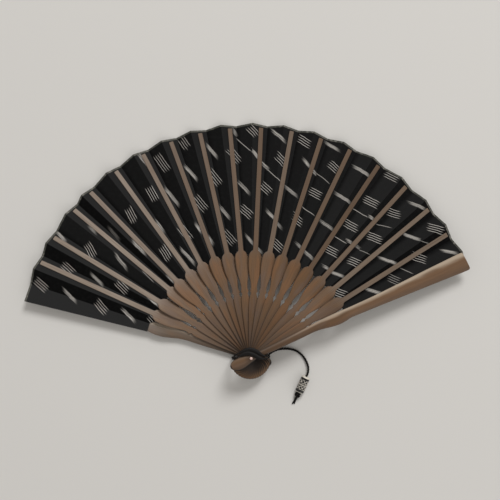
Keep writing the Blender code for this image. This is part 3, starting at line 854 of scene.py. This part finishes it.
facets = []
for index in range(lastStick + 1):
    facet = clothFacet(f"leaf_panel_{index:02d}_visual", lambda t: foldPoint(index, 0, t),
                       lambda t: foldPoint(index, 1, t), True, Vector((0, 0, 1)), index * 0.71)
    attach(facet, bodyNames[index])
    if index < lastStick:
        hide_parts(f"leaf_panel_{index:02d}")
    paintFacetShade(facet, index, True)
    facets.append(facet)

for index in range(1, lastStick + 1):
    valleyStart, peakStart = foldPoint(index - 1, 0, 0.0), foldPoint(index, 1, 0.0)
    valleyWay = foldPoint(index - 1, 0, 1.0) - valleyStart
    peakWay = foldPoint(index, 1, 1.0) - peakStart
    normalWay = valleyWay.cross(peakWay).normalized()
    facet = clothFacet(f"leaf_fold_{index:02d}_visual", lambda t: foldPoint(index - 1, 0, t),
                       lambda t: foldPoint(index, 1, t), False, normalWay, index * 0.83 + 40)
    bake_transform(facet)
    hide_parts(f"leaf_fold_{index:02d}")
    paintFacetShade(facet, index, False)
    facets.append(facet)
print("leaf made")

# finishes
woodValues = dict(dark=tone(36, 25, 18), streak=tone(78, 54, 37), orange=tone(134, 90, 52),
                  mauve=tone(100, 86, 80), edge=tone(26, 18, 13), paintedHighlight=tone(186, 170, 150),
                  shade=tone(66, 50, 36), head=tone(140, 106, 74), streakShare=0.42, roughRange=0.08)
ribWoodValues = dict(coolSpoke=tone(137, 123, 109), coolBlade=tone(119, 97, 78), warmSpoke=tone(97, 78, 61),
                     warmBlade=tone(104, 77, 51), roughness=0.52, gloss=0.05, blotch=0.3, headEdge=0.7,
                     sideDark=0.5, paintedHighlight=0.0)
guardWoodValues = dict(coolSpoke=tone(106, 92, 78), coolBlade=tone(104, 90, 76), warmSpoke=tone(112, 84, 59),
                       warmBlade=tone(96, 71, 48), roughness=0.42, gloss=0.2, blotch=0.22, headEdge=0.9,
                       sideDark=0.1, paintedHighlight=0.8)


def woodMaterial(name, values):
    rough = values["roughness"]
    made, tree, shader = newMaterial(name, rough, **{"Coat Weight": values["gloss"], "Coat Roughness": 0.35,
                                                     "Specular IOR Level": 0.3})
    calc, times, minus, blend, spread, fact = boundTo(tree)
    along, across = uvParts(tree, "grain")
    seed, warm = fact("seed"), fact("warm")
    fibres = noiseAt(tree, pointAt(tree, times(along, 1.6), times(across, 9.0), seed), 2.2, 5.0, 0.65)
    broad = noiseAt(tree, pointAt(tree, times(along, 2.2), across, seed), 1.6, 2.0)
    spoke = blend(warm, values["coolSpoke"], values["warmSpoke"])
    blade = blend(warm, values["coolBlade"], values["warmBlade"])
    isSpoke = spread(along, 0.84, 0.98)
    base = blend(isSpoke, blade, spoke)
    blotchShare = times(minus(1.15, isSpoke), values["blotch"])
    base = blend(times(spread(broad, 0.5, 0.64), blotchShare), base, woodValues["orange"])
    base = blend(times(spread(broad, 0.49, 0.37), blotchShare), base, woodValues["mauve"])
    base = addNode(tree, "HueSaturation", {"Value": fact("light"), "Color": base}).outputs[0]
    streaks = spread(fibres, 0.42, 0.66)
    base = blend(times(streaks, woodValues["streakShare"]), base, woodValues["streak"])
    # painted shade: the sticks darken towards the rivet, where they lie stacked, fading out again on the
    # heads
    darkShare = minus(spread(along, 0.72, 0.0, 0.0, 0.5), spread(along, -0.01, -0.07, 0.0, 0.5))
    base = blend(darkShare, base, woodValues["dark"])
    if values["paintedHighlight"]:  # the side of a guard that is turned to the top gets a painted highlight, the other one painted shade
        upper = times(fact("side"), fact("upside"))
        uneven = calc("MULTIPLY_ADD", minus(broad, 0.5), 0.9, upper)
        highlightShare = times(spread(uneven, 0.2, 0.95), values["paintedHighlight"])
        shadeShare = times(spread(upper, -0.1, -0.8), spread(along, 0.05, -0.05, 0.45, 0.75))
        base = blend(times(highlightShare, spread(along, 0.2, 1.0, 0.1, 1.0)), base, woodValues["paintedHighlight"])
        base = blend(shadeShare, base, woodValues["shade"])
    else:  # the ribs' heads get a painted highlight, up to a dark edge
        headShare = times(spread(fact("edge"), 0.3, 0.6), spread(along, -0.05, -0.09, 0.0, 0.6))
        base = blend(headShare, base, woodValues["head"])
    # the sides darken, and the end of the head: partly dark-stained edges, partly painted shade where one
    # stick lies over the next
    rimStart = spread(along, 0.06, -0.05, 0.86, values["headEdge"])
    rimShare = times(spread(fact("edge"), rimStart, calc("ADD", rimStart, 0.07)),
                     spread(along, 0.6, 0.0, values["sideDark"], 0.95))
    base = blend(rimShare, base, woodValues["edge"])
    base = blend(spread(along, -0.175, -0.184, 0.0, 0.9), base, woodValues["edge"])
    feed(tree, shader.inputs["Base Color"], base)
    low, high = rough - woodValues["roughRange"], rough + woodValues["roughRange"]
    feed(tree, shader.inputs["Roughness"], spread(fibres, 0.3, 0.7, low, high))
    addBump(tree, shader, fibres, 0.12 * mm, 0.6)
    return made


for pieces, wood in ((ribs, woodMaterial("smokedRibWood", ribWoodValues)),
                     (guards, woodMaterial("smokedGuardWood", guardWoodValues))):
    for piece in pieces:
        piece.data.materials.append(wood)

clothValues = dict(deep=tone(0, 0, 0), pale=tone(42, 42, 42), border=tone(74, 74, 68),
                   borderWorn=tone(128, 126, 118), mark=tone(200, 195, 188), borderWidth=0.17,
                   lineSpacing=2.0, lineHalf=0.06, lineSoft=0.27, stagger=0.35, dashHalf=1.3, wave=1.1)


def clothMaterial():
    made, tree, shader = newMaterial("kasuriCloth", 0.9, **{"Specular IOR Level": 0.12, "Sheen Weight": 0.02,
                                                            "Sheen Roughness": 0.5})
    calc, times, minus, blend, spread, fact = boundTo(tree)
    weave = addNode(tree, "UVMap", {}, uv_map="weave").outputs[0]
    rimAcross, rimDepth = uvParts(tree, "rim")
    markAlong, markAcross = uvParts(tree, "mark")
    ahead, aside = times(markAlong, 10.0), times(markAcross, 10.0)
    half = times(fact("markLength"), 0.5)
    kind, seed = fact("markKind"), fact("markSeed")
    wave = noiseAt(tree, pointAt(tree, times(ahead, 0.16), seed), 1.0, 1.0)
    aside = calc("MULTIPLY_ADD", minus(wave, 0.5), clothValues["wave"], aside)

    def within(distance, reach, soft):
        return spread(distance, minus(reach, soft), calc("ADD", reach, soft), 1.0, 0.0)

    # four thin lines, each a little behind the one before
    spacing, lineHalf = clothValues["lineSpacing"], clothValues["lineHalf"]
    place = calc("ADD", calc("DIVIDE", aside, spacing), 1.5)
    line = calc("MINIMUM", calc("MAXIMUM", calc("ROUND", place), 0.0), 3.0)
    offLine = times(calc("ABSOLUTE", minus(place, line)), spacing)
    jitterNode = addNode(tree, "TexWhiteNoise", {"Vector": pointAt(tree, line, seed)}, noise_dimensions="3D")
    shifted = calc("MULTIPLY_ADD", minus(line, 1.5), clothValues["stagger"], ahead)
    shifted = calc("MULTIPLY_ADD", jitterNode.outputs["Value"], 2.4, minus(shifted, 1.2))
    groupMask = times(spread(offLine, lineHalf, lineHalf + clothValues["lineSoft"], 1.0, 0.0),
                      within(calc("ABSOLUTE", shifted), half, 1.8))

    # a thick dash of many threads, each with its own ends
    thread = noiseAt(tree, pointAt(tree, aside, seed), 2.6, 2.0)
    ownEnd = calc("MULTIPLY_ADD", minus(thread, 0.5), 10.0, calc("MULTIPLY_ADD", aside, 0.9, ahead))
    dashMask = times(within(calc("ABSOLUTE", aside), clothValues["dashHalf"], 0.45),
                     within(calc("ABSOLUTE", ownEnd), half, 3.2))
    dashMask = times(dashMask, spread(thread, 0.34, 0.6, 0.15, 0.85))

    lineMask = times(spread(calc("ABSOLUTE", aside), 0.1, 0.45, 0.8, 0.0),
                     within(calc("ABSOLUTE", ahead), half, 2.0))
    isGroup = calc("LESS_THAN", kind, 0.5)
    isLine = calc("GREATER_THAN", kind, 1.5)
    isDash = minus(minus(1.0, isGroup), isLine)
    mask = times(groupMask, isGroup)
    mask = calc("MULTIPLY_ADD", dashMask, isDash, mask)
    mask = calc("MULTIPLY_ADD", lineMask, isLine, mask)
    mask = times(mask, fact("markStrength"))

    threads = noiseAt(tree, weave, 260.0, 2.0)
    worn = noiseAt(tree, weave, 30.0, 3.0)
    mask = times(mask, spread(threads, 0.3, 0.6, 0.6, 1.0))
    glued = fact("glued")
    valleyShade = times(spread(rimAcross, 0.35, 0.0, 0.0, 0.8), minus(1.0, glued))
    # painted shade: the ground of each facet takes the lightness painted on it, darker where the facet turns
    # from the light
    ground = blend(fact("light"), clothValues["deep"], clothValues["pale"])
    ground = blend(valleyShade, ground, clothValues["deep"])
    ground = blend(times(spread(worn, 0.45, 0.75), 0.12), ground, clothValues["pale"])
    border = spread(rimDepth, clothValues["borderWidth"], clothValues["borderWidth"] - 0.03)
    base = blend(mask, ground, clothValues["mark"])
    wornShare = calc("MULTIPLY_ADD", glued, 0.3, spread(worn, 0.5, 0.72))
    borderTone = blend(calc("MINIMUM", wornShare, 1.0), clothValues["border"], clothValues["borderWorn"])
    feed(tree, shader.inputs["Base Color"], blend(times(border, 0.85), base, borderTone))
    addBump(tree, shader, threads, 0.1 * mm, 0.5)
    return made


cloth = clothMaterial()
for facet in facets:
    facet.data.materials.append(cloth)

smallTones = dict(cord=tone(15, 12, 11), bone=tone(226, 221, 210), boneDeep=tone(196, 188, 174),
                  cut=tone(20, 18, 17), ivory=tone(225, 196, 186), ivoryDeep=tone(200, 170, 160))
cordBlack, cordTree, cordShader = newMaterial("blackSilkCord", 0.55, **{"Base Color": smallTones["cord"],
                                                                       "Specular IOR Level": 0.18})
fibreAlong, fibreAround = uvParts(cordTree, "around")
slanted = calc(cordTree, "ADD", times(cordTree, fibreAlong, 9.0), times(cordTree, fibreAround, 5.0))
addBump(cordTree, cordShader, calc(cordTree, "SINE", times(cordTree, slanted, 2 * pi)), 0.04 * mm, 0.5)
for piece in (cord, knot, neckLoop):
    piece.data.materials.clear()
    piece.data.materials.append(cordBlack)


def specksIn(tree, scale, detail):
    return noiseAt(tree, addNode(tree, "TexCoord", {}).outputs["Object"], scale, detail)


beadFinish, beadTree, beadShader = newMaterial("carvedBone", 0.42)
beadSpecks = specksIn(beadTree, 700.0, 4.0)
bone = blend(beadTree, beadSpecks, smallTones["bone"], smallTones["boneDeep"])
cut = spread(beadTree, fact(beadTree, "carved"), 0.15, 0.5)
feed(beadTree, beadShader.inputs["Base Color"], blend(beadTree, cut, bone, smallTones["cut"]))
addBump(beadTree, beadShader, beadSpecks, 0.05 * mm, 0.4)
bead.data.materials.append(beadFinish)

rivetFinish, rivetTree, rivetShader = newMaterial("ivoryRivet", 0.35)
ivory = blend(rivetTree, specksIn(rivetTree, 900.0, 3.0), smallTones["ivory"], smallTones["ivoryDeep"])
feed(rivetTree, rivetShader.inputs["Base Color"], ivory)
rivet.data.materials.append(rivetFinish)
print("finishes made")

# floor, light and backdrop
floorValues = dict(size=6.0, tone=tone(210, 208, 204), roughness=0.9)
deselectAll()
bpy.ops.mesh.primitive_plane_add(size=floorValues["size"], location=(0, 0, 0))
floor = bpy.context.object
floor.name = "floor"
floorInputs = {"Base Color": floorValues["tone"]}
floor.data.materials.append(newMaterial("paleFloor", floorValues["roughness"], **floorInputs)[0])

lights = dict(key=dict(place=(0.93, 2.55, 2.72), size=1.5, power=93.0),
              fill=dict(place=(1.3, -2.0, 1.1), size=3.0, power=18.0),
              sky=0.42, skyColour=(1.0, 0.965, 0.925, 1.0))
for name in ("key", "fill"):
    values = lights[name]
    lampData = bpy.data.lights.new(name, "AREA")
    lampData.shape = "DISK"
    lampData.size = values["size"]
    lampData.energy = values["power"]
    lamp = addObject(name, lampData)
    lamp.location = values["place"]
    lamp.rotation_euler = (-Vector(values["place"])).to_track_quat("-Z", "Y").to_euler()

world = bpy.data.worlds.new("studio")
bpy.context.scene.world = world
world.use_nodes = True
skyNode = world.node_tree.nodes["Background"]
skyNode.inputs["Color"].default_value = lights["skyColour"]
skyNode.inputs["Strength"].default_value = lights["sky"]
bpy.context.scene.view_settings.view_transform = "Standard"
print("floor and light made")
